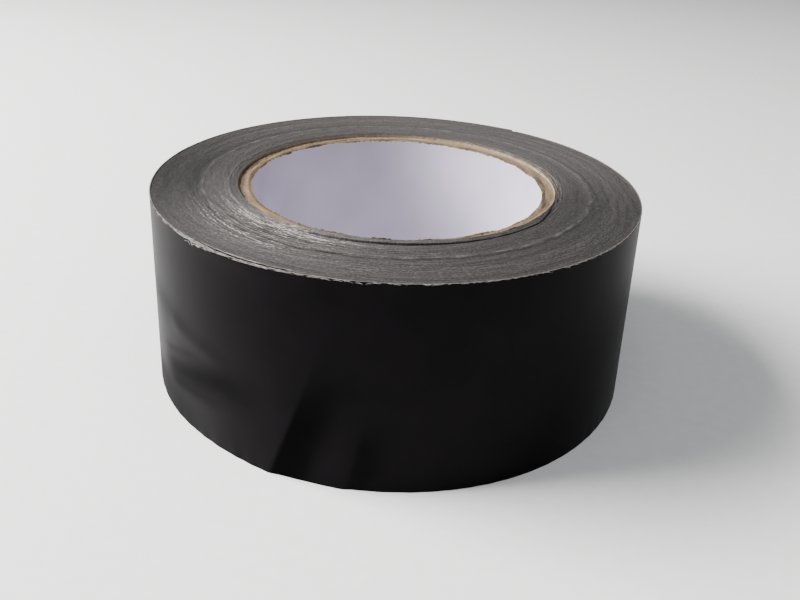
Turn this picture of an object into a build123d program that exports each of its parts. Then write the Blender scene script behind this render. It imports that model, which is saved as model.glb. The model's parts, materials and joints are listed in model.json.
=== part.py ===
from build123d import *
from math import cos, radians, sin
import os

# A roll of cloth-backed adhesive tape lying flat on its side, on a spiral-wound board core.
# The origin is at the centre of the bore, on the plane that the roll lies on. +Z is up the bore.
# The tape's free end is on the outside at CUT_ANGLE. From there the tape runs counter-clockwise
# (seen from above) and inward, so the free end peels back towards PEEL_ANGLE.

# Driving dimensions, in millimetres and degrees
BORE_RADIUS = 38.1          # 3 inch core
LINER_THICKNESS = 0.35      # white paper lining of the bore
PLY_THICKNESS = 0.63        # kraft board
PLY_COUNT = 5
CORE_LENGTH = 49.9          # the core ends a little below the face of the tape
TAPE_WIDTH = 50.8           # 2 inch tape
ROLL_RADIUS = 63.5          # at the free end, where the roll is largest
TURN_PITCH = 0.35           # how much the outermost turn adds to the radius
FILM_THICKNESS = 0.10       # polyethylene backing
CLOTH_THICKNESS = 0.13      # cotton scrim in its adhesive
STARTER_THICKNESS = 2.1     # the innermost turns, which have slid as one bundle
STARTER_RISE = 0.3          # how far they stand out of the face
COURSE_COUNT = 8
FACE_DROPS = [0.20, 0.10, 0.20, 0.0, 0.12, 0.0, 0.08, 0.0]     # unevenness of the face, course by course
CUT_ANGLE = 54.5
TAIL_LENGTHS = 7
TAIL_STEP = 10.0            # angle of one length of the tail
TAIL_RISE = 0.15            # the tail is wound this much off the plane that the roll lies on
TAIL_GAP = 0.05             # between two lengths of the tail, as an angle

# Worked out
PEEL_ANGLE = CUT_ANGLE + TAIL_LENGTHS * TAIL_STEP
CORE_RADIUS = BORE_RADIUS + LINER_THICKNESS + PLY_COUNT * PLY_THICKNESS
COURSE_START = CORE_RADIUS + STARTER_THICKNESS
COURSE_END = ROLL_RADIUS - 2 * TURN_PITCH
COURSE_THICKNESS = (COURSE_END - COURSE_START) / COURSE_COUNT

# The outside of the roll is a spiral of two half circles, which meet in line with the free end.
# Each half turn takes half of TURN_PITCH off the radius.
SHIFT = TURN_PITCH / 4
FIRST_CENTER = (SHIFT * cos(radians(CUT_ANGLE)), SHIFT * sin(radians(CUT_ANGLE)))
SECOND_CENTER = (-FIRST_CENTER[0], -FIRST_CENTER[1])
FIRST_RADIUS = ROLL_RADIUS - SHIFT
SECOND_RADIUS = ROLL_RADIUS - 3 * SHIFT
HALF_ANGLE = CUT_ANGLE + 180.0

os.makedirs("parts", exist_ok=True)


def save(piece, label):
    """Names a finished piece and writes its STEP file."""
    piece.part.label = label
    export_step(piece.part, f"parts/{label}.step")


def tube(label, inner, thickness, bottom, height):
    """A plain tube about the bore's axis."""
    with BuildPart() as piece:
        with BuildSketch(Plane.XY.offset(bottom)):
            Circle(inner + thickness)
            Circle(inner, mode=Mode.SUBTRACT)
        extrude(amount=height)
    save(piece, label)


def outer_course(label, inner, height):
    """The last course under the outermost turn: round inside, and the roll's spiral outside."""
    with BuildPart() as piece:
        with BuildSketch():
            with BuildLine():
                first = CenterArc(FIRST_CENTER, FIRST_RADIUS - TURN_PITCH, CUT_ANGLE, 180)
                second = CenterArc(SECOND_CENTER, SECOND_RADIUS - TURN_PITCH, HALF_ANGLE, 180)
                Line(second @ 1, first @ 0)
            make_face()
            Circle(inner, mode=Mode.SUBTRACT)
        extrude(amount=height)
    save(piece, label)


def outer_lamina(label, depth, thickness):
    """One lamina of the outermost turn, from the peel line round to where it goes under the tail."""
    with BuildPart() as piece:
        with BuildSketch():
            with BuildLine():
                first_sweep = HALF_ANGLE - PEEL_ANGLE
                first_out = CenterArc(FIRST_CENTER, FIRST_RADIUS - depth, PEEL_ANGLE, first_sweep)
                second_out = CenterArc(SECOND_CENTER, SECOND_RADIUS - depth, HALF_ANGLE, 180)
                inside = depth + thickness
                second_in = CenterArc(SECOND_CENTER, SECOND_RADIUS - inside, HALF_ANGLE, 180)
                first_in = CenterArc(FIRST_CENTER, FIRST_RADIUS - inside, PEEL_ANGLE, first_sweep)
                Line(first_out @ 0, first_in @ 0)
                Line(second_out @ 1, second_in @ 1)
            make_face()
        extrude(amount=TAPE_WIDTH)
    save(piece, label)


def tail_lamina(label, depth, thickness, start):
    """One lamina of one length of the tail."""
    with BuildPart() as piece:
        with BuildSketch(Plane.XY.offset(TAIL_RISE)):
            with BuildLine():
                low = start + TAIL_GAP
                sweep = TAIL_STEP - 2 * TAIL_GAP
                outside = CenterArc(FIRST_CENTER, FIRST_RADIUS - depth, low, sweep)
                inside = CenterArc(FIRST_CENTER, FIRST_RADIUS - depth - thickness, low, sweep)
                Line(outside @ 0, inside @ 0)
                Line(outside @ 1, inside @ 1)
            make_face()
        extrude(amount=TAPE_WIDTH)
    save(piece, label)


# The core: a paper liner and five board plies
tube("core_liner", BORE_RADIUS, LINER_THICKNESS, 0, CORE_LENGTH)
for ply in range(PLY_COUNT):
    ply_inner = BORE_RADIUS + LINER_THICKNESS + ply * PLY_THICKNESS
    tube(f"core_ply_{ply + 1}", ply_inner, PLY_THICKNESS, 0, CORE_LENGTH)

# The wound tape: the starter turns, then the courses
tube("starter_turns", CORE_RADIUS, STARTER_THICKNESS, STARTER_RISE, TAPE_WIDTH)
for course in range(COURSE_COUNT - 1):
    course_inner = COURSE_START + course * COURSE_THICKNESS
    tube(f"course_{course + 1}", course_inner, COURSE_THICKNESS, 0, TAPE_WIDTH - FACE_DROPS[course])
outer_course(f"course_{COURSE_COUNT}", COURSE_END - COURSE_THICKNESS, TAPE_WIDTH - FACE_DROPS[-1])

# The outermost turn, and the tail in lengths counted from the peel line to the free end
outer_lamina("outer_turn_film", 0, FILM_THICKNESS)
outer_lamina("outer_turn_cloth", FILM_THICKNESS, CLOTH_THICKNESS)
for length in range(TAIL_LENGTHS):
    length_start = PEEL_ANGLE - (length + 1) * TAIL_STEP
    tail_lamina(f"tail_film_{length + 1}", 0, FILM_THICKNESS, length_start)
    tail_lamina(f"tail_cloth_{length + 1}", FILM_THICKNESS, CLOTH_THICKNESS, length_start)
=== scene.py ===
import bpy
import json
import math
import numpy as np
from mathutils import Matrix, Vector


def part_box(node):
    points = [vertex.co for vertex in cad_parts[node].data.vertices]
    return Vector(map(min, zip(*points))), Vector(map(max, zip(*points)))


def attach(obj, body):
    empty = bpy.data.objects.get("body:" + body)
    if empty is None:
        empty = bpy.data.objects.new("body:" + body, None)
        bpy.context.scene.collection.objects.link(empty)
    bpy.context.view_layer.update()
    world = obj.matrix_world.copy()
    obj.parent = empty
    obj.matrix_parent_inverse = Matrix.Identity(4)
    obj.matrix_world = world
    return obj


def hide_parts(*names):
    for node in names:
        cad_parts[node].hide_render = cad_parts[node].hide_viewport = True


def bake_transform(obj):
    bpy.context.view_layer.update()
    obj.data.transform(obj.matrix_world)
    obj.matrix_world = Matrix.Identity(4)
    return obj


# A roll of cloth-backed tape lying on a table. Metres. Angles are in degrees, counter-clockwise from +X
# seen from above. "phi" is the angle wound from the tape's free end, counter-clockwise and inward.
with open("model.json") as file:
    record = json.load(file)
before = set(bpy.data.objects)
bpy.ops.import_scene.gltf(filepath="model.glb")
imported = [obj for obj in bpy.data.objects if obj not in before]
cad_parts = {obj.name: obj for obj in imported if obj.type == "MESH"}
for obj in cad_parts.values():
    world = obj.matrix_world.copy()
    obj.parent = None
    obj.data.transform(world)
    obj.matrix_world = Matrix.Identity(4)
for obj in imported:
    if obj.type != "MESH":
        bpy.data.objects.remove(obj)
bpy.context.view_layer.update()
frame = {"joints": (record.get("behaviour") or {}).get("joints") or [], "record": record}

MM = 0.001
RECORD = frame["record"]
HINGES = [Vector(joint["pos_m"]) for joint in frame["joints"]]

# Places from the frame
BORE = next(m["dims"]["r_mm"] for m in RECORD["mounts"] if m["name"] == "core_bore") * MM
LINER_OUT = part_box("core_liner")[1].x
CORE_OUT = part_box("core_ply_5")[1].x
CORE_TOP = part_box("core_liner")[1].z
STARTER_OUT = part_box("starter_turns")[1].x
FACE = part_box("course_8")[1].z
PEEL_ANGLE = math.degrees(math.atan2(HINGES[0].y, HINGES[0].x))
BEND_ANGLE = math.degrees(math.atan2(HINGES[1].y, HINGES[1].x))
TAIL_STEP = PEEL_ANGLE - BEND_ANGLE
CUT_ANGLE = PEEL_ANGLE - len(HINGES) * TAIL_STEP
ROLL_OUT = 63.5 * MM                # at the free end
TURN_PITCH = 0.35 * MM              # the outermost turn, which is not pressed down
FILM = 0.10 * MM
CLOTH = 0.14 * MM
TAPE = 0.245 * MM                   # the tape in the winding
WOUND_TURNS = 72
STARTER_TURNS = 7
COURSES = 8
PLIES = 5
SCRAPED = 232.0                     # where the face is scraped; the pale streaks there are painted highlight
FLARED = 240.0                      # where the outermost turn stands away at the top
WOUND_OUT = ROLL_OUT - TURN_PITCH
WOUND_PITCH = (WOUND_OUT - STARTER_OUT) / WOUND_TURNS
SECOND_EDGE = 62.62 * MM            # the rim just inside the outermost turn
TAPE_WIDTH_MM = 50.8
COLLAR_MM = 43.75                   # radius of the seam round the starter turns
DEGREE_WIDTH = 1.108                # millimetres round the outside of the roll in one degree
SHARP = 40.0                        # faces that meet at more than this show a corner
WINDING_STEP = 0.5                  # degrees from one section of a wound ribbon to the next
LAMINA_STEP = 0.4                   # the same, for the outermost turn
EDGE_ROUNDING = 0.045 * MM
OUTER_TURN_END = 359.7              # degrees from the free end to the end of the outermost turn
END_LIFT = 0.45 * MM                # how far the free end stands off the roll
END_LIFT_REACH = 3.5                # degrees over which that lift fades

# Two folds in the outermost turn that lean as they rise: their angle at the foot, and degrees per millimetre
WEDGE_FOOT, WEDGE_LEAN = 246, 0.32
SECOND_FOOT, SECOND_LEAN = 261.5, 0.2

# Stage, light and camera
FLOOR_RADIUS = 4.0
FLOOR_DROP = 0.00005                # keeps the floor clear of the roll's lower face
ROOM_COLOUR, ROOM_STRENGTH = (0.90, 0.92, 0.95, 1), 0.20
WINDOW_PLACE, WINDOW_AIM, WINDOW_SIZE = (-0.80, 0.04, 0.62), (0, 0, 0.03), (0.6, 0.6)
WINDOW_POWER, WINDOW_COLOUR = 44, (1.0, 0.985, 0.965)
CEILING_PLACE, CEILING_AIM, CEILING_SIZE = (0.15, -0.50, 1.10), (0, 0, 0), (1.0, 1.0)
CEILING_POWER, CEILING_COLOUR = 5.5, (0.97, 0.985, 1.0)
CAMERA_PLACE = (0, -0.2177, 0.12645)
CAMERA_PAN, CAMERA_TILT, CAMERA_ROLL = 0.334, 22.2, 2.55
LENS, SENSOR_WIDTH, SHIFT_Y = 39.07, 36.0, -0.09375
NEAR_CLIP = 0.01


# ---------------------------------------------------------------- mesh helpers

def wave_noise(position, seed, lowest, highest, count=24):
    """Smooth noise of about unit size along position: waves of random length and phase."""
    rng = np.random.default_rng(seed)
    rates = rng.uniform(lowest, highest, count)
    phases = rng.uniform(0, 2 * math.pi, count)
    total = np.zeros_like(position, dtype=float)
    for rate, phase in zip(rates, phases):
        total += np.sin(position * rate * 2 * math.pi + phase)
    return total * math.sqrt(2 / count)


def ring_noise(angle, seed, lowest, highest, count=24):
    """The same round a full circle, in whole waves per turn, so that it closes on itself."""
    rng = np.random.default_rng(seed)
    rates = rng.integers(lowest, highest, count)
    phases = rng.uniform(0, 2 * math.pi, count)
    total = np.zeros_like(angle, dtype=float)
    for rate, phase in zip(rates, phases):
        total += np.sin(np.radians(angle) * rate + phase)
    return total * math.sqrt(2 / count)


def patch_noise(r, angle, seed, per_mm, per_turn, count=30):
    """Smooth noise over the face, of about unit size: patches drawn out along the winding."""
    rng = np.random.default_rng(seed)
    across = rng.uniform(*per_mm, count) * rng.choice([-1, 1], count)
    along = rng.integers(*per_turn, count)
    phases = rng.uniform(0, 2 * math.pi, count)
    total = np.zeros_like(r, dtype=float)
    for first, second, phase in zip(across, along, phases):
        total += np.sin(2 * math.pi * first * r + np.radians(angle) * second + phase)
    return total * math.sqrt(2 / count)


def bump_at(value, centre, width):
    """A smooth hill of height 1 at centre."""
    return np.exp(-((value - centre) / width) ** 2)


def rise(value, start, end):
    """0 before start, 1 after end, smooth between."""
    t = np.clip((value - start) / (end - start), 0, 1)
    return t * t * (3 - 2 * t)


def toward(angle, centre, width):
    """1 at the centre angle, fading to 0 all round."""
    return bump_at((angle - centre + 180) % 360, 180, width)


def mesh_object(name, points, quads, materials, slots=None, tone=None, tone_name="tone"):
    """An object from arrays of points and four-cornered faces. tone is a number for each point."""
    mesh = bpy.data.meshes.new(name)
    mesh.vertices.add(len(points))
    mesh.vertices.foreach_set("co", np.asarray(points, np.float32).ravel())
    mesh.loops.add(quads.size)
    mesh.loops.foreach_set("vertex_index", quads.astype(np.int32).ravel())
    mesh.polygons.add(len(quads))
    mesh.polygons.foreach_set("loop_start", np.arange(0, quads.size, 4, dtype=np.int32))
    mesh.update(calc_edges=True)
    mesh.validate()
    for material in materials:
        mesh.materials.append(material)
    if slots is not None:
        mesh.polygons.foreach_set("material_index", slots.astype(np.int32))
    mesh.polygons.foreach_set("use_smooth", np.full(len(quads), True))
    mesh.set_sharp_from_angle(angle=math.radians(SHARP))
    if tone is not None:
        attribute = mesh.attributes.new(tone_name, "FLOAT", "POINT")
        attribute.data.foreach_set("value", np.asarray(tone, np.float32).ravel())
    piece = bpy.data.objects.new(name, mesh)
    bpy.context.scene.collection.objects.link(piece)
    return piece


def swept_quads(rows, columns, closed):
    """Faces of a tube of rows sections with columns points each, with flat ends where it is open."""
    row = np.arange(rows if closed else rows - 1)[:, None]
    column = np.arange(columns)[None, :]
    after = (row + 1) % rows
    beside = (column + 1) % columns
    corners = [row * columns + column, row * columns + beside,
               after * columns + beside, after * columns + column]
    return np.stack(np.broadcast_arrays(*corners), -1).reshape(-1, 4)


def polar(radius, angle, height):
    """Points from cylinder coordinates, angle in degrees."""
    turn = np.radians(angle)
    return np.stack([radius * np.cos(turn), radius * np.sin(turn), height], -1)


# ---------------------------------------------------------------- materials

def tree_of(name):
    """A new material: its node tree and its Principled shader."""
    material = bpy.data.materials.new(name)
    material.use_nodes = True
    tree = material.node_tree
    return material, tree, tree.nodes["Principled BSDF"]


def put(tree, kind, inputs=None, **settings):
    """Adds a node. An input is a number, a tuple or another node's output."""
    node = tree.nodes.new(kind)
    for key, value in settings.items():
        setattr(node, key, value)
    for key, value in (inputs or {}).items():
        if isinstance(value, bpy.types.NodeSocket):
            tree.links.new(value, node.inputs[key])
        else:
            node.inputs[key].default_value = value
    return node


def math_node(tree, operation, first, second=0.0):
    return put(tree, "ShaderNodeMath", {0: first, 1: second}, operation=operation).outputs[0]


def around(tree, per_radius, per_turn, per_height):
    """Texture coordinates that run with the winding: radius, place round the roll, and height."""
    place = put(tree, "ShaderNodeTexCoord").outputs["Object"]
    split = put(tree, "ShaderNodeSeparateXYZ", {0: place})
    x, y, z = split.outputs
    square = math_node(tree, "ADD", math_node(tree, "MULTIPLY", x, x), math_node(tree, "MULTIPLY", y, y))
    radius = math_node(tree, "SQRT", square)
    across = math_node(tree, "MULTIPLY", math_node(tree, "DIVIDE", x, radius), per_turn)
    along = math_node(tree, "MULTIPLY", math_node(tree, "DIVIDE", y, radius), per_turn)
    depth = math_node(tree, "ADD", math_node(tree, "MULTIPLY", radius, per_radius),
                      math_node(tree, "MULTIPLY", z, per_height))
    return put(tree, "ShaderNodeCombineXYZ", {0: depth, 1: across, 2: along}).outputs[0]


def noise(tree, vector, scale, detail=3.0, roughness=0.55):
    node = put(tree, "ShaderNodeTexNoise", {"Vector": vector, "Scale": scale, "Detail": detail,
                                            "Roughness": roughness})
    return node.outputs["Fac"]


def ramp(tree, value, stops):
    """A colour ramp from (position, colour) stops."""
    node = put(tree, "ShaderNodeValToRGB", {0: value})
    elements = node.color_ramp.elements
    while len(elements) < len(stops):
        elements.new(0.5)
    for element, (position, colour) in zip(elements, stops):
        element.position = position
        element.color = (*colour, 1.0)
    return node.outputs[0]


def bump(tree, shader, height, strength, distance):
    node = put(tree, "ShaderNodeBump", {"Height": height, "Strength": strength, "Distance": distance})
    tree.links.new(node.outputs[0], shader.inputs["Normal"])


def edge_material():
    """The wound edges of the tape: dull grey, each turn of its own paleness, with painted sheen, shade and
    highlight from the tone, and fine grain.
    """
    material, tree, shader = tree_of("wound_edges")
    tone = put(tree, "ShaderNodeAttribute", attribute_name="tone").outputs["Fac"]
    grain = noise(tree, around(tree, 2500.0, 95.0, 1200.0), 1.0, 3.0, 0.7)
    speck = math_node(tree, "SUBTRACT", grain, 0.5)
    mixed = math_node(tree, "ADD", tone, speck)
    colour = ramp(tree, mixed, [(0.0, (0.014, 0.013, 0.013)), (0.35, (0.052, 0.048, 0.048)),
                                (0.60, (0.123, 0.114, 0.109)), (1.0, (0.46, 0.435, 0.40))])
    tree.links.new(colour, shader.inputs["Base Color"])
    shader.inputs["Roughness"].default_value = 0.72
    shader.inputs["Specular IOR Level"].default_value = 0.2
    bump(tree, shader, grain, 0.5, 0.00010)
    return material


def film_material():
    """Black polyethylene film: smooth and semi-gloss; duller at the folds, and painted darker there as the
    shade and shadow beside them.
    """
    material, tree, shader = tree_of("black_film")
    fold_shade_and_dulling = put(tree, "ShaderNodeAttribute", attribute_name="fold_shade_and_dulling").outputs["Fac"]
    place = put(tree, "ShaderNodeTexCoord").outputs["Object"]
    cloudy = noise(tree, place, 90.0, 3.0, 0.5)
    fine = noise(tree, place, 1400.0, 4.0, 0.6)
    # Painted shade: darker where the fold shade attribute is high
    mixed = math_node(tree, "SUBTRACT", cloudy, math_node(tree, "MULTIPLY", fold_shade_and_dulling, 0.5))
    colour = ramp(tree, mixed, [(0.0, (0.0004, 0.0003, 0.0004)), (0.35, (0.0022, 0.0019, 0.0023)),
                                (0.65, (0.0033, 0.0028, 0.0034))])
    tree.links.new(colour, shader.inputs["Base Color"])
    gloss = put(tree, "ShaderNodeMapRange", {0: cloudy, 3: 0.38, 4: 0.46}).outputs[0]
    rough = math_node(tree, "ADD", gloss, math_node(tree, "MULTIPLY", fold_shade_and_dulling, 0.40))
    tree.links.new(rough, shader.inputs["Roughness"])
    shader.inputs["Specular IOR Level"].default_value = 0.034
    shader.inputs["Specular Tint"].default_value = (1.0, 0.93, 0.98, 1.0)
    bump(tree, shader, fine, 0.25, 0.00003)
    return material


def adhesive_material():
    """The inside of the tape: a net of cotton threads under grey adhesive."""
    material, tree, shader = tree_of("scrim_in_adhesive")
    along = put(tree, "ShaderNodeAttribute", attribute_name="wound").outputs["Fac"]
    place = put(tree, "ShaderNodeTexCoord").outputs["Object"]
    z = put(tree, "ShaderNodeSeparateXYZ", {0: place}).outputs[2]
    across = math_node(tree, "MULTIPLY", z, 1 / MM)
    sheet = put(tree, "ShaderNodeCombineXYZ", {0: along, 1: across}).outputs[0]
    wander = math_node(tree, "MULTIPLY", noise(tree, sheet, 0.35, 2.0, 0.5), 5.0)
    mottle = noise(tree, sheet, 0.9, 4.0, 0.65)

    def set_of_threads(position, spacing, sharpness):
        phase = math_node(tree, "ADD", math_node(tree, "MULTIPLY", position, math.pi / spacing), wander)
        wave = math_node(tree, "ABSOLUTE", math_node(tree, "SINE", phase))
        return math_node(tree, "POWER", wave, sharpness)

    lengthwise = set_of_threads(across, 1.2, 5.0)
    crosswise = math_node(tree, "MULTIPLY", set_of_threads(along, 2.6, 12.0), 0.8)
    net = math_node(tree, "MAXIMUM", lengthwise, crosswise)
    mixed = math_node(tree, "ADD", math_node(tree, "MULTIPLY", net, 0.45),
                      math_node(tree, "MULTIPLY", mottle, 0.6))
    colour = ramp(tree, mixed, [(0.15, (0.085, 0.079, 0.076)), (0.85, (0.22, 0.208, 0.198))])
    tree.links.new(colour, shader.inputs["Base Color"])
    shader.inputs["Roughness"].default_value = 0.5
    bump(tree, shader, net, 0.5, 0.00010)
    return material


def cotton_material():
    """Loose cotton threads with a little adhesive on them."""
    material, tree, shader = tree_of("cotton_threads")
    tone = put(tree, "ShaderNodeAttribute", attribute_name="tone").outputs["Fac"]
    place = put(tree, "ShaderNodeTexCoord").outputs["Object"]
    fibres = noise(tree, place, 4000.0, 2.0, 0.5)
    mottle = math_node(tree, "MULTIPLY", math_node(tree, "SUBTRACT", fibres, 0.5), 0.5)
    mixed = math_node(tree, "ADD", tone, mottle)
    colour = ramp(tree, mixed, [(0.3, (0.095, 0.087, 0.082)), (0.9, (0.31, 0.285, 0.27))])
    tree.links.new(colour, shader.inputs["Base Color"])
    shader.inputs["Roughness"].default_value = 0.85
    return material


def cream_material():
    """The adhesive side of the first turn, where it stands above the core."""
    material, tree, shader = tree_of("cream_adhesive")
    mottle = noise(tree, around(tree, 0.0, 40.0, 300.0), 1.0, 4.0, 0.6)
    colour = ramp(tree, mottle, [(0.35, (0.20, 0.15, 0.10)), (0.65, (0.36, 0.29, 0.21))])
    tree.links.new(colour, shader.inputs["Base Color"])
    shader.inputs["Roughness"].default_value = 0.7
    bump(tree, shader, mottle, 0.4, 0.00008)
    return material


def board_material():
    """The cut end of kraft board: fibres in layers, browner towards the bore."""
    material, tree, shader = tree_of("kraft_board")
    tone = put(tree, "ShaderNodeAttribute", attribute_name="tone").outputs["Fac"]
    fibres = noise(tree, around(tree, 2600.0, 34.0, 300.0), 1.0, 4.0, 0.65)
    mottle = math_node(tree, "MULTIPLY", math_node(tree, "SUBTRACT", fibres, 0.5), 0.6)
    mixed = math_node(tree, "ADD", tone, mottle)
    colour = ramp(tree, mixed, [(0.0, (0.035, 0.027, 0.021)), (0.22, (0.120, 0.083, 0.053)),
                                (0.45, (0.190, 0.132, 0.085)), (0.85, (0.330, 0.255, 0.175))])
    tree.links.new(colour, shader.inputs["Base Color"])
    shader.inputs["Roughness"].default_value = 0.9
    shader.inputs["Specular IOR Level"].default_value = 0.2
    bump(tree, shader, fibres, 0.7, 0.00012)
    return material


def paper_material():
    """White uncoated paper, with a faint lavender cast."""
    material, tree, shader = tree_of("liner_paper")
    place = put(tree, "ShaderNodeTexCoord").outputs["Object"]
    fibres = noise(tree, place, 900.0, 4.0, 0.6)
    clouds = noise(tree, place, 60.0, 2.0, 0.5)
    colour = ramp(tree, clouds, [(0.35, (0.51, 0.478, 0.57)), (0.65, (0.575, 0.540, 0.635))])
    tree.links.new(colour, shader.inputs["Base Color"])
    shader.inputs["Roughness"].default_value = 0.75
    shader.inputs["Specular IOR Level"].default_value = 0.3
    bump(tree, shader, fibres, 0.15, 0.00004)
    return material


def floor_material():
    """A plain pale table top."""
    material, tree, shader = tree_of("pale_floor")
    place = put(tree, "ShaderNodeTexCoord").outputs["Object"]
    grain = noise(tree, place, 300.0, 3.0, 0.5)
    colour = ramp(tree, grain, [(0.3, (0.88, 0.88, 0.88)), (0.7, (0.92, 0.92, 0.92))])
    tree.links.new(colour, shader.inputs["Base Color"])
    shader.inputs["Roughness"].default_value = 0.7
    return material


EDGE = edge_material()
BLACK = film_material()
SCRIM = adhesive_material()
COTTON = cotton_material()
CREAM = cream_material()
BOARD = board_material()
PAPER = paper_material()
FLOOR = floor_material()


# ---------------------------------------------------------------- the outermost turn's relief

def ridge(angle, z, start, end, width, height, right_spread=1.0):
    """A soft fold along a line between two (angle, z) places, which fades out past both.
    right_spread is how many times wider the fold is to the right of that line."""
    along_angle = (end[0] - start[0]) * DEGREE_WIDTH
    along_z = end[1] - start[1]
    length = math.hypot(along_angle, along_z)
    x = (angle - start[0]) * DEGREE_WIDTH
    y = z - start[1]
    along = (x * along_angle + y * along_z) / length
    across = (x * along_z - y * along_angle) / length
    spread = np.where(across > 0, width * right_spread, width)
    ends = rise(along, -0.25 * length, 0.2 * length) * (1 - rise(along, 0.8 * length, 1.3 * length))
    return height * np.exp(-(across / spread) ** 2) * ends


def past_wedge(angle, z):
    """Degrees past the crest of the big fold at a height in millimetres."""
    return angle - WEDGE_FOOT - WEDGE_LEAN * z


def film_relief(angle, height):
    """How far the outermost turn stands off its true spiral, at an angle and a height."""
    z = height / MM
    # The soft folds at the left, small lumps along the lower edge, and a dent under the longest fold
    relief = ridge(angle, z, (214, 7), (238, 15), 2.6, 0.24, 1.6)
    relief += (ridge(angle, z, (209, 17), (226, 24), 1.8, 0.10, 2.2)
               + ridge(angle, z, (212, 12), (222, 18), 0.8, 0.05))
    relief += 0.025 * ring_noise(angle, 71, 40, 110) * np.clip(1 - z / 4, 0, 1)
    relief += ridge(angle, z, (216, 26), (232, 24), 2.0, 0.20)
    relief -= 0.25 * bump_at(angle, 226, 9) * np.clip(1 - z / 9, 0, 1) ** 1.3
    # The wedge: a slow climb to its crest, then a steep fall
    past = past_wedge(angle, z)
    climb = 0.62 * np.clip(1 + past / 10, 0, 1) ** 1.5
    fall = 0.68 * np.exp(-np.clip(past, 0, None) / 2.4) - 0.06 * (1 - rise(past, 5, 14))
    relief += np.where(past < 0, climb, fall) * np.exp(-(z / 24) ** 1.8)
    # A second, lower crest beyond it
    second = angle - SECOND_FOOT - SECOND_LEAN * z
    crest = np.where(second < 0, bump_at(second, 0, 4), bump_at(second, 0, 1.6))
    relief += 0.30 * crest * (1 - rise(z, 2, 26))
    # The lower edge stands away at the right, and the upper edge where it is frayed
    relief += 0.40 * toward(angle, 302, 26) * np.clip(1 - z / 14, 0, 1) ** 1.5
    relief += 0.38 * toward(angle, FLARED, 9) * rise(z, 44, TAPE_WIDTH_MM) ** 2
    return relief * MM


def film_fold_shade(angle, height):
    """Where the film is painted darker as shade and shadow beside a fold, and made duller, 0 to 1."""
    z = height / MM
    # Painted shadow past the crest of the wedge, then more faintly past the second crest
    past = past_wedge(angle, z)
    fold_shade_and_dulling = rise(past, -0.5, 0.6) * (1 - rise(past, 4, 12)) * (1 - rise(z, 12, 34))
    second = angle - (SECOND_FOOT + 0.5) - SECOND_LEAN * z
    fold_shade_and_dulling += 0.6 * rise(second, -0.5, 1.0) * (1 - rise(second, 2, 9)) * (1 - rise(z, 6, 22))
    # Painted shade along the soft folds at the left, and the lower edge beside them
    fold_shade_and_dulling += ridge(angle, z, (212, 12), (237, 19), 3.4, 0.60)
    fold_shade_and_dulling += (ridge(angle, z, (215, 10), (233, 12), 1.3, 0.25)
               + ridge(angle, z, (211, 17), (224, 21), 0.9, 0.22))
    fold_shade_and_dulling += ridge(angle, z, (204, 29), (222, 27), 3.6, 0.20)
    fold_shade_and_dulling += 0.50 * (1 - rise(angle, 214, 232)) * rise(angle, 190, 204) * (1 - rise(z, 5, 12))
    return np.clip(fold_shade_and_dulling, 0, 1)


def turn_radius(phi):
    """Outside radius of the outermost turn, phi degrees from the free end."""
    return ROLL_OUT - TURN_PITCH * phi / 360


# ---------------------------------------------------------------- the winding

def face_height(phi, radius, angle):
    """Height of the tape's upper edge at each place along the winding."""
    r = radius / MM
    turn = phi / 360
    wander = 0.006 * wave_noise(turn, 11, 0.3, 3.0) + 0.010 * patch_noise(r, angle, 12, (0.1, 1.0), (3, 60))
    bands = -0.10 + 0.07 * bump_at(r, 50.6, 0.5) - 0.05 * bump_at(r, 51.9, 0.7)
    bands = bands + 0.02 * np.sin(r * 1.9) - 0.12 * (1 - rise(r, 43.7, 46))
    scraped = toward(angle, SCRAPED, 30) * (1 - rise(r, 52, 57))
    combed = 0.05 * scraped * patch_noise(r, angle, 13, (0.3, 1.2), (3, 30))
    # A gap behind the flared part of the outermost turn
    groove = 0.9 * toward(angle, FLARED, 8) * rise(r, 62.45, 62.75)
    return FACE + (wander + bands + combed - groove) * MM


def face_tone(phi, radius, angle):
    """How pale the tape's edge is at each place along the winding, 0 to 1, with painted sheen, shade and
    highlight in it.
    """
    r = radius / MM
    turn = phi / 360
    tone = (0.318 + 0.012 * wave_noise(turn, 21, 0.3, 3)
            + 0.020 * patch_noise(r, angle, 22, (0.1, 0.8), (2, 30)))
    tone += 0.02 * np.sin(r * 0.9 + 0.4) - 0.05 * bump_at(r, 51.9, 0.8)
    tone += 0.11 * bump_at(r, 50.6, 0.5) * (0.7 + 0.5 * patch_noise(r, angle, 26, (0.0, 0.2), (8, 60)))
    # Painted sheen and shade round the face: darker at the left, right and near right, paler beyond the core
    tone -= 0.12 * toward(angle, 355, 40) + 0.06 * toward(angle, 45, 25)
    tone -= 0.25 * toward(angle, 188, 32) * rise(r, 46, 54)
    tone += 0.05 * toward(angle, 95, 30) + 0.10 * toward(angle, 140, 25)
    # Pale streaks along the winding where the face is scraped, painted as the winding's highlight: long ones
    # broken up by short ones
    inner_zone = toward(angle, 234, 24) * bump_at(r, 45.2, 2.6)
    middle_zone = toward(angle, 226, 22) * bump_at(r, 53.0, 2.2)
    wide_zone = toward(angle, 230, 30) * (1 - rise(r, 55, 62))
    scrape_highlight_zones = 1.35 * inner_zone + 0.80 * middle_zone + 0.28 * wide_zone
    long_streaks = np.clip(patch_noise(r, angle, 23, (0.3, 1.4), (4, 24)) + 0.5, 0, 1.5)
    short_streaks = np.clip(patch_noise(r, angle, 24, (0.8, 2.4), (40, 220)) + 0.7, 0, 1.8)
    tone += scrape_highlight_zones * (0.12 + 0.27 * long_streaks * short_streaks)
    # Single pale flecks
    flecks = np.clip(patch_noise(r, angle, 25, (0.5, 2.0), (60, 320)) - 1.9, 0, 1.0)
    tone += 0.40 * (0.2 + 0.8 * wide_zone) * flecks
    return np.clip(tone, 0, 1)


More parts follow.
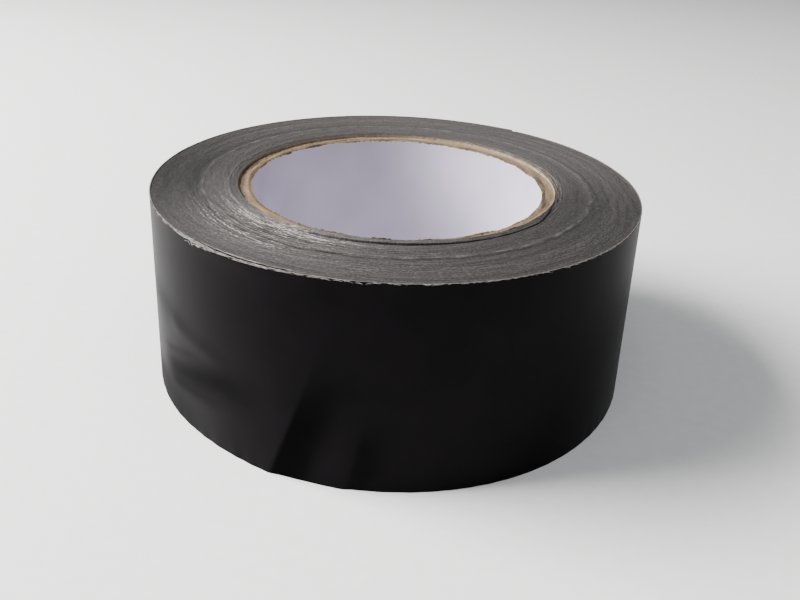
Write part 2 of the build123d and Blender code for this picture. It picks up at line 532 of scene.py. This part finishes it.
def strip(name, phi_start, phi_end, radius_of, height_of, tone_of, materials):
    """One length of tape on edge: a closed ribbon wound along the spiral, with a rounded upper edge."""
    phi = np.linspace(phi_start, phi_end, int((phi_end - phi_start) / WINDING_STEP) + 1)
    angle = CUT_ANGLE + phi
    outer = radius_of(phi)
    top = height_of(phi, outer, angle)
    near = outer - TAPE
    middle = outer - TAPE / 2
    section = [(outer, EDGE_ROUNDING), (outer, top - EDGE_ROUNDING), (middle, top),
               (near, top - EDGE_ROUNDING), (near, EDGE_ROUNDING), (middle, 0.0)]
    points = np.stack([polar(r, angle, z + np.zeros_like(phi)) for r, z in section], 1)
    quads = swept_quads(len(phi), len(section), False)
    sides = np.tile([1, 0, 0, 2, 0, 0], len(phi) - 1)
    flat = points.reshape(-1, 3)
    last = (len(phi) - 1) * len(section)
    caps = np.array([[0, 1, 2, 3], [0, 3, 4, 5], [last + 3, last + 2, last + 1, last],
                     [last + 5, last + 4, last + 3, last]])
    quads = np.concatenate([quads[:, ::-1], caps])
    slots = np.concatenate([sides, np.zeros(len(caps), int)])
    tone = np.repeat(tone_of(phi, outer, angle), len(section))
    return mesh_object(name, flat, quads, materials, slots, tone)


def wound_radius(phi):
    return WOUND_OUT - WOUND_PITCH * phi / 360


def make_courses():
    """The winding, in as many lengths as the frame has courses, from the outside in."""
    share = WOUND_TURNS * 360 / COURSES
    for index in range(COURSES):
        node = f"course_{COURSES - index}"
        piece = strip(f"wound_turns_{COURSES - index}", index * share, (index + 1) * share,
                      wound_radius, face_height, face_tone, [EDGE, BLACK, SCRIM])
        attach(piece, "roll")
        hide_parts(node)


def make_starter():
    """The turns next to the core, which have slid as a bundle: proud along the front, with a gap there."""
    pitch = (STARTER_OUT - CORE_OUT) / STARTER_TURNS

    def radius_of(phi):
        a = (CUT_ANGLE + phi) % 360
        gap = 0.05 + 0.24 * rise(a, 232, 245) * (1 - rise(a, 312, 325))
        turn = phi / 360
        return STARTER_OUT - pitch * turn - gap * MM * (1 - turn / STARTER_TURNS)

    def height_of(phi, radius, angle):
        a = angle % 360
        r = radius / MM
        # Proud along the front. Past the seam at the right the outer turns lie flush again, with a groove
        lift = -0.22 + 0.42 * rise(a, 234, 246) - 0.28 * rise(a, 270, 306) + 0.20 * rise(a, 310, 332)
        lift -= 0.34 * rise(a, 330, 350)
        seam = COLLAR_MM - 1.9 * np.clip((a - 320) / 18, 0, 1)
        flush = rise(r, seam - 0.1, seam + 0.2) * rise(a, 316, 326)
        lift = lift * (1 - flush) - 0.22 * flush
        groove = 0.28 * bump_at(r, seam, 0.18) * rise(a, 310, 322) * (1 - rise(a, 328, 344))
        wander = (0.03 * wave_noise(phi / 360, 31, 0.5, 3)
                  + 0.03 * patch_noise(r, angle, 32, (0.3, 1.5), (10, 60)))
        return FACE + (lift - groove + wander) * MM

    def tone_of(phi, radius, angle):
        r = radius / MM
        a = angle % 360
        streaks = np.clip(patch_noise(r, angle, 34, (0.4, 1.6), (20, 90)) + 0.6, 0, 1.8)
        tone = 0.28 + 0.03 * patch_noise(r, angle, 33, (0.3, 1.2), (8, 50))
        tone += 0.14 * rise(a, 190, 232) * (1 - rise(a, 275, 320))
        # Pale streaks at the front-left: painted highlight, as on the face
        return tone + 0.20 * toward(a, 234, 16) * streaks

    piece = strip("starter_collar", 0, STARTER_TURNS * 360, radius_of, height_of, tone_of,
                  [EDGE, EDGE, CREAM])
    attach(piece, "roll")
    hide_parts("starter_turns")


# ---------------------------------------------------------------- the outermost turn and the tail

def lamina(name, start, end, depth, thickness, top_of, material, cut=None):
    """A sheet of the outermost turn between two angles, depth below the outside."""
    count = max(int((end - start) / LAMINA_STEP) + 1, 3)
    levels = np.concatenate([[0, 0.4], np.linspace(1.5, 46, 46), np.linspace(46.8, 50.4, 8),
                             [TAPE_WIDTH_MM]]) / TAPE_WIDTH_MM
    angle = np.linspace(start, end, count)[:, None] + np.zeros((1, len(levels)))
    if cut is not None:
        angle = cut(angle, levels[None, :])
    top = top_of(angle)
    height = levels[None, :] * top
    phi = angle - CUT_ANGLE
    outer = turn_radius(phi) + film_relief(angle, height) - depth
    lift = END_LIFT * np.exp(-np.clip(phi, 0, None) / END_LIFT_REACH)
    outer = outer + lift
    front = polar(outer, angle, height)
    back = polar(outer - thickness, angle, height)
    section = np.concatenate([front, back[:, ::-1]], 1)
    columns = section.shape[1]
    quads = swept_quads(count, columns, False)
    half = len(levels)
    level = np.arange(half - 1)
    first = np.stack([level, level + 1, columns - 2 - level, columns - 1 - level], 1)
    last = first[:, ::-1] + (count - 1) * columns
    quads = np.concatenate([quads[:, ::-1], first, last])
    # The painted shade and shadow beside the folds, and their dullness, for the film's shader
    fold_shade_and_dulling = film_fold_shade(angle, height)
    fold_shade_and_dulling = np.concatenate([fold_shade_and_dulling, fold_shade_and_dulling[:, ::-1]], 1)
    piece = mesh_object(name, section.reshape(-1, 3), quads, [material], None, fold_shade_and_dulling.ravel(), "fold_shade_and_dulling")
    wound = np.concatenate([angle, angle[:, ::-1]], 1) * DEGREE_WIDTH
    attribute = piece.data.attributes.new("wound", "FLOAT", "POINT")
    attribute.data.foreach_set("value", wound.astype(np.float32).ravel())
    return piece


def film_top(angle):
    return FACE + (0.02 * ring_noise(angle, 41, 2, 30) - 0.02) * MM


def cloth_top(angle):
    frayed = bump_at(angle % 360, 240, 30) + 0.8 * bump_at(angle % 360, 312, 22)
    return FACE + (0.03 + 0.05 * ring_noise(angle, 42, 60, 700, 60) * frayed) * MM


def ragged_end(angle, level):
    """Moves the free end's edge in and out, as it was torn, and leaves the rest where it is."""
    edge = 0.35 * ring_noise(level * 360, 51, 1, 9) + 0.12 * ring_noise(level * 360, 52, 14, 60)
    near = 1 - rise(angle, CUT_ANGLE, CUT_ANGLE + TAIL_STEP / 2)
    return angle + (0.5 + edge) * near


def make_outer_turn():
    """The outermost turn in its two laminae, then the tail in pieces that each span one hinge."""
    end = CUT_ANGLE + OUTER_TURN_END
    half = TAIL_STEP / 2
    layers = [("film", 0.0, FILM, film_top, BLACK, "backing_film"),
              ("cloth", FILM, CLOTH, cloth_top, SCRIM, "scrim_adhesive")]
    for layer, depth, thickness, top_of, material, slot in layers:
        wrap = lamina(f"outer_{layer}", PEEL_ANGLE + half, end, depth, thickness, top_of, material)
        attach(wrap, "roll")
        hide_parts(f"outer_turn_{layer}")
        for index in range(len(HINGES)):
            middle = PEEL_ANGLE - index * TAIL_STEP
            is_last = index == len(HINGES) - 1
            low = CUT_ANGLE if is_last else middle - half
            piece = lamina(f"tail_{layer}_bend_{index + 1}", low, middle + half, depth, thickness, top_of,
                           material, ragged_end if is_last else None)
            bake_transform(piece)
            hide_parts(f"tail_{layer}_{index + 1}")


def threads(name, count, angles, radius_of, seed, longest, spread=1.0, hang=0.0):
    """Loose cotton threads lying along an edge: thin bent tubes of random length and place.
    hang is how far out and down, in millimetres, the ones that hang over the edge reach."""
    rng = np.random.default_rng(seed)
    sides, joints = 4, 9
    middle = rng.normal(angles[0], angles[1], count)
    length = rng.uniform(0.6, longest, count)
    along = np.linspace(-0.5, 0.5, joints)[None, :]
    angle = middle[:, None] + along * length[:, None]
    bend = rng.normal(0, 1, (count, 4))
    out = 0.08 * bend[:, :1] * along * 2 + 0.06 * bend[:, 1:2] * np.cos(along * math.pi)
    lift = 0.05 * np.abs(bend[:, 2:3]) * np.cos(along * math.pi) + 0.05 * bend[:, 3:4] * along * 2
    droop = hang * rng.uniform(0, 1, (count, 1)) ** 1.5
    radius = radius_of(angle) + (out * spread + droop) * MM
    height = FACE + ((lift - 0.02) * spread - 0.8 * droop) * MM
    thick = rng.uniform(0.025, 0.06, count)[:, None] * (1.1 - (along * 1.6) ** 2) * MM
    corner = np.arange(sides) * 2 * math.pi / sides
    ring_out = radius[..., None] + thick[..., None] * np.cos(corner)
    ring_up = height[..., None] + thick[..., None] * np.sin(corner)
    points = polar(ring_out, angle[..., None] + 0 * ring_out, ring_up).reshape(-1, 3)
    last = (joints - 1) * sides
    ends = np.array([[3, 2, 1, 0], [last, last + 1, last + 2, last + 3]])
    tube = np.concatenate([swept_quads(joints, sides, False), ends])[:, ::-1]
    quads = (tube[None] + (np.arange(count) * joints * sides)[:, None, None]).reshape(-1, 4)
    tone = np.repeat(rng.uniform(0.35, 0.95, count), joints * sides)
    piece = mesh_object(name, points, quads, [COTTON], None, tone)
    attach(piece, "roll")


def make_threads():
    """The fringe along the outer rim, thickest where the rim is frayed, and a few threads inside it."""
    def outer_edge(angle):
        return turn_radius(angle - CUT_ANGLE) + film_relief(angle, FACE) - FILM

    def second_edge(angle):
        return SECOND_EDGE + 0 * angle

    threads("frayed_edge_threads", 240, (240, 12), outer_edge, 101, 2.2, 1.5, 0.30)
    threads("frayed_edge_tuft", 75, (229.0, 2.0), outer_edge, 105, 2.2, 2.4, 0.75)
    threads("frayed_edge_threads_right", 130, (300, 20), outer_edge, 102, 2.0, 1.5, 0.15)
    threads("frayed_edge_threads_left", 45, (212, 9), outer_edge, 103, 2.6, 1.5)
    threads("second_edge_threads", 40, (240, 6), second_edge, 104, 3.5)


# ---------------------------------------------------------------- the core

def ring(name, inner, outer, top_of, tone_of, material, columns=4, steps=1080):
    """A tube whose upper end is uneven: top_of(angle, share) gives its height across the wall."""
    angle = np.linspace(0, 360, steps, endpoint=False)
    flat = 0 * angle
    inside = top_of(angle, 0.0)
    wall_levels = [0.0, 0.5, 0.9, 0.97]
    section = [polar(inner + flat, angle, inside * level) for level in wall_levels]
    section += [polar(inner + (outer - inner) * s + flat, angle, top_of(angle, s))
                for s in np.linspace(0, 1, columns)]
    section += [polar(outer + flat, angle, flat)]
    points = np.stack(section, 1)
    quads = swept_quads(steps, len(section), True)
    sides = np.zeros(len(section), int)
    sides[len(wall_levels):] = 1
    tone = np.repeat(tone_of(angle), len(section))
    return mesh_object(name, points.reshape(-1, 3), quads, [material, BOARD], np.tile(sides, steps), tone)


def make_core():
    """The paper liner and the board plies, with the rough edge that the core cutter leaves."""
    def liner_top(angle, share):
        torn = 0.10 * ring_noise(angle, 61, 3, 28) + 0.07 * ring_noise(angle, 62, 60, 220)
        notch = 0.3 * np.clip(ring_noise(angle, 63, 4, 40) - 1.3, 0, 1)
        return CORE_TOP - (0.30 + np.clip(torn + notch, -0.25, 0.45)) * MM

    def liner_tone(angle):
        # Painted shade: darker at the front, beside the collar
        return 0.30 + 0.10 * ring_noise(angle, 64, 5, 60) - 0.20 * toward(angle, 262, 40)

    piece = ring("paper_liner", BORE, LINER_OUT, liner_top, liner_tone, PAPER)
    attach(piece, "roll")
    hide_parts("core_liner")
    wall = CORE_OUT - LINER_OUT
    for ply in range(PLIES):
        def ply_top(angle, share, ply=ply):
            fuzz = 0.05 * ring_noise(angle, 70 + ply, 40, 300, 40) + 0.05 * ring_noise(angle, 80 + ply, 3, 20)
            round_in = 0.18 * (1 - share) ** 2 if ply == 0 else 0.0
            return CORE_TOP - (0.06 + round_in + np.clip(fuzz, -0.05, 0.25)) * MM

        def ply_tone(angle, ply=ply):
            # Painted shade: darker at the right, at the far left, at the left under the face's edge (the
            # outer plies most), and at the front beside the collar
            tone = 0.30 + 0.10 * ply + 0.08 * ring_noise(angle, 90 + ply, 2, 30) - 0.17 * toward(angle, 0, 50)
            tone -= 0.10 * toward(angle, 125, 40) + 0.19 * max(ply - 1, 0) * toward(angle, 172, 44)
            return tone - 0.22 * toward(angle, 262, 28)

        piece = ring(f"board_ply_{ply + 1}", LINER_OUT + wall * ply / PLIES,
                     LINER_OUT + wall * (ply + 1) / PLIES, ply_top, ply_tone, BOARD)
        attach(piece, "roll")
        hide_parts(f"core_ply_{ply + 1}")


# ---------------------------------------------------------------- stage, light and camera

def make_floor():
    bpy.ops.mesh.primitive_circle_add(vertices=96, radius=FLOOR_RADIUS, fill_type="NGON",
                                      location=(0, 0, -FLOOR_DROP))
    floor = bpy.context.object
    floor.name = "floor"
    floor.data.materials.append(FLOOR)


def area_light(name, place, aim, size, power, colour):
    light = bpy.data.lights.new(name, "AREA")
    light.shape = "RECTANGLE"
    light.size, light.size_y = size
    light.energy = power
    light.color = colour
    lamp = bpy.data.objects.new(name, light)
    bpy.context.scene.collection.objects.link(lamp)
    lamp.location = place
    lamp.rotation_euler = (Vector(aim) - Vector(place)).to_track_quat("-Z", "Y").to_euler()


def make_lights():
    world = bpy.data.worlds.new("soft_room")
    bpy.context.scene.world = world
    world.use_nodes = True
    background = world.node_tree.nodes["Background"]
    background.inputs[0].default_value = ROOM_COLOUR
    background.inputs[1].default_value = ROOM_STRENGTH
    area_light("window", WINDOW_PLACE, WINDOW_AIM, WINDOW_SIZE, WINDOW_POWER, WINDOW_COLOUR)
    area_light("ceiling", CEILING_PLACE, CEILING_AIM, CEILING_SIZE, CEILING_POWER, CEILING_COLOUR)


def make_camera():
    """The viewing angle: in front of the roll and above it, with the horizon slightly tipped."""
    pan = math.radians(CAMERA_PAN)
    tilt = math.radians(CAMERA_TILT)
    roll = math.radians(CAMERA_ROLL)
    ahead = Vector((math.sin(pan) * math.cos(tilt), math.cos(pan) * math.cos(tilt), -math.sin(tilt)))
    level = ahead.cross(Vector((0, 0, 1))).normalized()
    upright = level.cross(ahead)
    right = math.cos(roll) * level + math.sin(roll) * upright
    up = -math.sin(roll) * level + math.cos(roll) * upright
    data = bpy.data.cameras.new("camera")
    data.lens = LENS
    data.sensor_width = SENSOR_WIDTH
    data.shift_y = SHIFT_Y
    data.clip_start = NEAR_CLIP
    camera = bpy.data.objects.new("camera", data)
    bpy.context.scene.collection.objects.link(camera)
    turned = Matrix((right, up, -ahead)).transposed().to_4x4()
    camera.matrix_world = Matrix.Translation(Vector(CAMERA_PLACE)) @ turned
    bpy.context.scene.camera = camera


make_floor()
make_lights()
make_camera()
make_core()
make_starter()
make_courses()
make_outer_turn()
make_threads()
